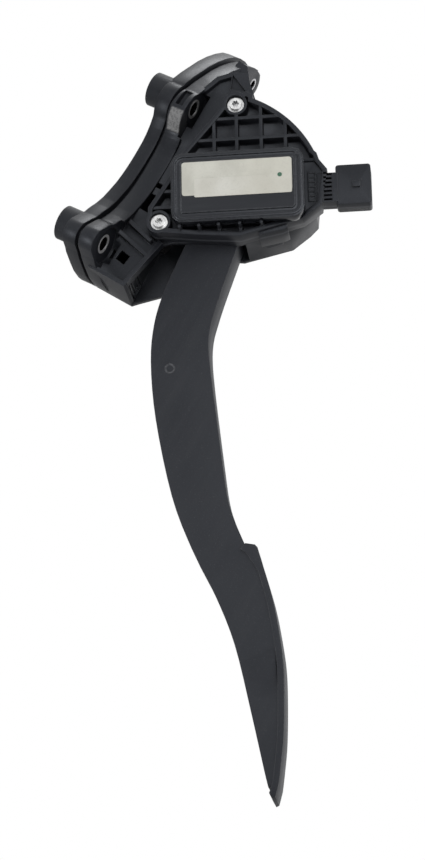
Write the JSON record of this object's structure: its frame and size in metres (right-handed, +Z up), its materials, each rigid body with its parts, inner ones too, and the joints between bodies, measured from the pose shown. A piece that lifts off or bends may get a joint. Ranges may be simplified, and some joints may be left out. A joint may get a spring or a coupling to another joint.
{
  "type": "accelerator pedal module",
  "caption": "Suspended electronic accelerator pedal: bulkhead bracket with isolating plate and steel bushes, ribbed sensor housing with connector, sprung moulded arm.",
  "frame": {"origin": "centre of the end face of the lower tubular boss, on the bulkhead", "axes": "X away from the bulkhead along the mounting face's normal, Z up the mounting face, Y away from the sensor side"},
  "size_m": [0.2556, 0.0909, 0.3827],
  "materials": {
    "moulded_black": "satin",
    "isolator_black": "matt",
    "cover_black": "semi-gloss",
    "arm_black": "matt",
    "bush_steel": "turned",
    "screw_steel": "zinc plated",
    "label_film": "printed film",
    "seal_rubber": "matt",
    "board_green": "solder resist",
    "chip_black": "matt",
    "contact_brass": "tinned tips",
    "magnet_dark": "sintered",
    "carrier_grey": "matt",
    "shaft_steel": "ground",
    "bearing_bronze": "sintered",
    "shoe_white": "satin",
    "spring_steel": "drawn"
  },
  "bodies": {
    "base": {"back_plate": "isolator_black", "bush_lower": "bush_steel", "bush_upper": "bush_steel", "bush_far": "bush_steel", "bracket": "moulded_black", "sensor_housing": "moulded_black", "sensor_cover": "cover_black", "cover_seal": "seal_rubber", "label": "label_film", "screw_upper": "screw_steel", "screw_lower": "screw_steel", "connector_terminals": "contact_brass", "circuit_board": "board_green", "hall_chip": "chip_black", "shaft_bush_near": "bearing_bronze", "shaft_bush_far": "bearing_bronze", "spring_outer": "spring_steel", "spring_inner": "spring_steel", "rest_stop": "seal_rubber", "travel_stop": "seal_rubber"},
    "pedal": {"pedal_arm": "arm_black", "pivot_shaft": "shaft_steel", "magnet_carrier": "carrier_grey", "magnet": "magnet_dark", "friction_shoe": "shoe_white"}
  },
  "joints": [
    {"name": "pedal_pivot", "type": "hinge", "parent": "base", "child": "pedal", "pos_m": [0.07747, 0.02971, 0.06093], "axis": [-0.1305, 0.9914, 0], "range_deg": [0, 15.5], "stiffness_Nm_per_rad": 14, "springref_deg": -28.65, "deforming": ["spring_outer", "spring_inner"]}
  ]
}
